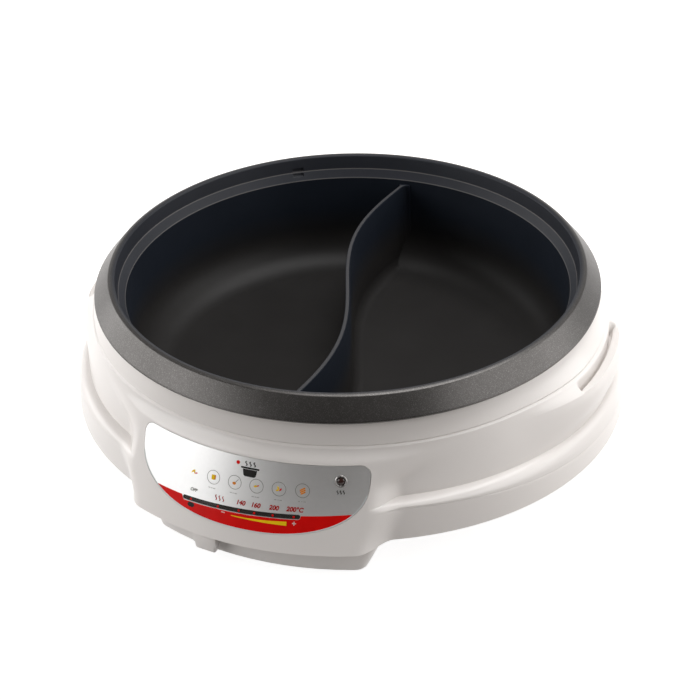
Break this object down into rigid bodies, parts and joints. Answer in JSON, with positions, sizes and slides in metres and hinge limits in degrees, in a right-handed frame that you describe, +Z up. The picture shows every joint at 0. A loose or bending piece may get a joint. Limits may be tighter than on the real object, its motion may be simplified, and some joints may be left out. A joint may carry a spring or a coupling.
{
  "type": "electric hot pot",
  "caption": "Electric hot pot: a round cast pan split by an S-shaped wall, lifting off a white heated base with a slide temperature control under a front console.",
  "frame": {"origin": "on the table, under the middle of the bounding box; the pan's axis stands 7.9 mm behind it", "axes": "+Z up, -Y towards the cook (the console faces -Y), +X to the right of someone facing the console"},
  "size_m": [0.3884, 0.3866, 0.1158],
  "materials": {
    "white_plastic": "glossy moulded warm white",
    "nonstick_coating": "cast metal with a dark nonstick coating and fine sparkle",
    "printed_panel": "silver printed panel with a red band, rings and plain numbers",
    "smoked_window": "smoked transparent plastic",
    "lamp_lens": "dark amber lens",
    "black_plastic": "heat resistant moulded black",
    "plated_steel": "plated sheet and fasteners",
    "heater_sheath": "heat tinted metal sheath",
    "ceramic": "unglazed insulator",
    "brass": "turned brass",
    "rubber": "matte black rubber",
    "red_plastic": "red indicator"
  },
  "bodies": {
    "base": {"base_tray": "white_plastic", "body_shell": "white_plastic", "dial_window": "smoked_window", "fascia_panel": "printed_panel", "foot_front_left": "rubber", "foot_front_right": "rubber", "foot_rear_left": "rubber", "foot_rear_right": "rubber", "heater_bush_left": "ceramic", "heater_bush_right": "ceramic", "heater_element": "heater_sheath", "heater_saddle_front": "plated_steel", "heater_saddle_left": "plated_steel", "heater_saddle_right": "plated_steel", "inlet_pin_earth": "brass", "inlet_pin_line": "brass", "inlet_pin_neutral": "brass", "inlet_socket": "black_plastic", "lamp_holder": "black_plastic", "pilot_lamp": "lamp_lens", "reflector_bowl": "plated_steel", "sensor_spring": "plated_steel", "terminal_block": "ceramic", "thermal_fuse": "plated_steel", "thermostat_body": "black_plastic", "tray_screw_1": "plated_steel", "tray_screw_2": "plated_steel", "tray_screw_3": "plated_steel", "tray_screw_4": "plated_steel"},
    "pan": {"pot": "nonstick_coating"},
    "control_lever": {"slide_knob": "white_plastic", "pointer": "red_plastic", "lever_arm": "plated_steel", "cam_spindle": "brass"},
    "sensor": {"sensor_button": "plated_steel"}
  },
  "joints": [
    {"name": "pot_lift", "type": "slide", "parent": "base", "child": "pan", "axis": [0, 0, 1], "range_m": [0, 0.1]},
    {"name": "control_slide", "type": "hinge", "parent": "base", "child": "control_lever", "pos_m": [0, 0.00793, 0.0148], "axis": [0, 0, 1], "range_deg": [-3.4, 17.3]},
    {"name": "sensor_slide", "type": "slide", "parent": "base", "child": "sensor", "axis": [0, 0, 1], "range_m": [-0.002, 0], "stiffness_N_per_m": 400, "springref_m": 0.002, "deforming": ["sensor_spring"]}
  ]
}
